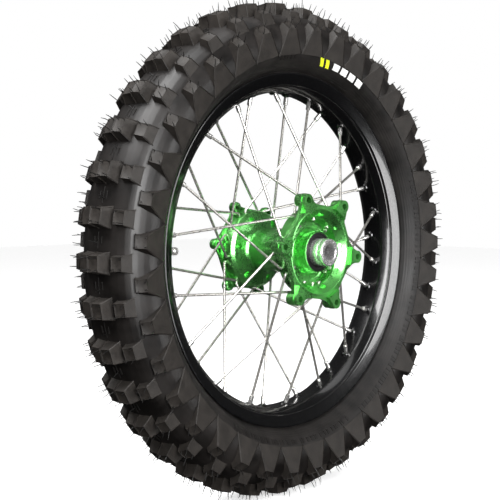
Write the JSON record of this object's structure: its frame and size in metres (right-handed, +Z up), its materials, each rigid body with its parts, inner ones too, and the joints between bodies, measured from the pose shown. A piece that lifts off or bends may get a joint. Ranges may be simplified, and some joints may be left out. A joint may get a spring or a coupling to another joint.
{
  "type": "spoked rear motorcycle wheel",
  "caption": "Off-road motorcycle rear wheel: knobbly tyre on a black rim, crossed steel spokes and a green flanged hub that spins on ball bearings.",
  "frame": {"origin": "centre of the wheel, on the axle line midway between the outer faces of the two side collars", "axes": "+Y along the axle from the sprocket side to the brake side, +Z up, +X across the wheel; the wheel spins about Y"},
  "size_m": [0.6734, 0.1844, 0.6738],
  "materials": {
    "tyre_rubber": "matt moulded rubber with a slight sheen on its knobs",
    "tube_rubber": "smooth rubber",
    "tape_rubber": "matt rubber",
    "rim_black": "gloss black",
    "bright_metal": "nickel-plated",
    "hub_green": "glossy green anodised",
    "spoke_steel": "bright drawn steel",
    "bearing_steel": "ground",
    "spring_steel": "blackened",
    "silver_aluminium": "machined",
    "seal_rubber": "smooth rubber"
  },
  "bodies": {
    "axle_core": {"distance_tube": "silver_aluminium", "bearing_inner_ring_sprocket_side": "bearing_steel", "bearing_inner_ring_brake_side": "bearing_steel", "collar_sprocket_side": "silver_aluminium", "collar_brake_side": "silver_aluminium"},
    "wheel": {"tyre": "tyre_rubber", "inner_tube": "tube_rubber", "rim_tape": "tape_rubber", "rim": "rim_black", "valve_stem": "bright_metal", "valve_nut": "bright_metal", "valve_cap": "bright_metal", "hub": "hub_green", "bearing_outer_ring_sprocket_side": "bearing_steel", "bearing_outer_ring_brake_side": "bearing_steel", "circlip": "spring_steel", "oil_seal_sprocket_side": "seal_rubber", "oil_seal_brake_side": "seal_rubber", "spoke_sprocket_side_01": "spoke_steel", "spoke_sprocket_side_02": "spoke_steel", "spoke_sprocket_side_03": "spoke_steel", "spoke_sprocket_side_04": "spoke_steel", "spoke_sprocket_side_05": "spoke_steel", "spoke_sprocket_side_06": "spoke_steel", "spoke_sprocket_side_07": "spoke_steel", "spoke_sprocket_side_08": "spoke_steel", "spoke_sprocket_side_09": "spoke_steel", "spoke_sprocket_side_10": "spoke_steel", "spoke_sprocket_side_11": "spoke_steel", "spoke_sprocket_side_12": "spoke_steel", "spoke_sprocket_side_13": "spoke_steel", "spoke_sprocket_side_14": "spoke_steel", "spoke_sprocket_side_15": "spoke_steel", "spoke_sprocket_side_16": "spoke_steel", "spoke_sprocket_side_17": "spoke_steel", "spoke_sprocket_side_18": "spoke_steel", "spoke_brake_side_01": "spoke_steel", "spoke_brake_side_02": "spoke_steel", "spoke_brake_side_03": "spoke_steel", "spoke_brake_side_04": "spoke_steel", "spoke_brake_side_05": "spoke_steel", "spoke_brake_side_06": "spoke_steel", "spoke_brake_side_07": "spoke_steel", "spoke_brake_side_08": "spoke_steel", "spoke_brake_side_09": "spoke_steel", "spoke_brake_side_10": "spoke_steel", "spoke_brake_side_11": "spoke_steel", "spoke_brake_side_12": "spoke_steel", "spoke_brake_side_13": "spoke_steel", "spoke_brake_side_14": "spoke_steel", "spoke_brake_side_15": "spoke_steel", "spoke_brake_side_16": "spoke_steel", "spoke_brake_side_17": "spoke_steel", "spoke_brake_side_18": "spoke_steel"},
    "ball_cage_sprocket_side": {"bearing_balls_sprocket_side": "bearing_steel"},
    "ball_cage_brake_side": {"bearing_balls_brake_side": "bearing_steel"}
  },
  "joints": [
    {"name": "wheel_spin", "type": "hinge", "parent": "axle_core", "child": "wheel", "pos_m": [0, 0, 0], "axis": [0, 1, 0], "continuous": true},
    {"name": "cage_spin_sprocket_side", "type": "hinge", "parent": "axle_core", "child": "ball_cage_sprocket_side", "pos_m": [0, -0.055, 0], "axis": [0, 1, 0], "continuous": true},
    {"name": "cage_spin_brake_side", "type": "hinge", "parent": "axle_core", "child": "ball_cage_brake_side", "pos_m": [0, 0.0465, 0], "axis": [0, 1, 0], "continuous": true}
  ],
  "couplings": [
    {"joint": "cage_spin_sprocket_side", "follows": "wheel_spin", "ratio": 0.6111},
    {"joint": "cage_spin_brake_side", "follows": "wheel_spin", "ratio": 0.6111}
  ]
}
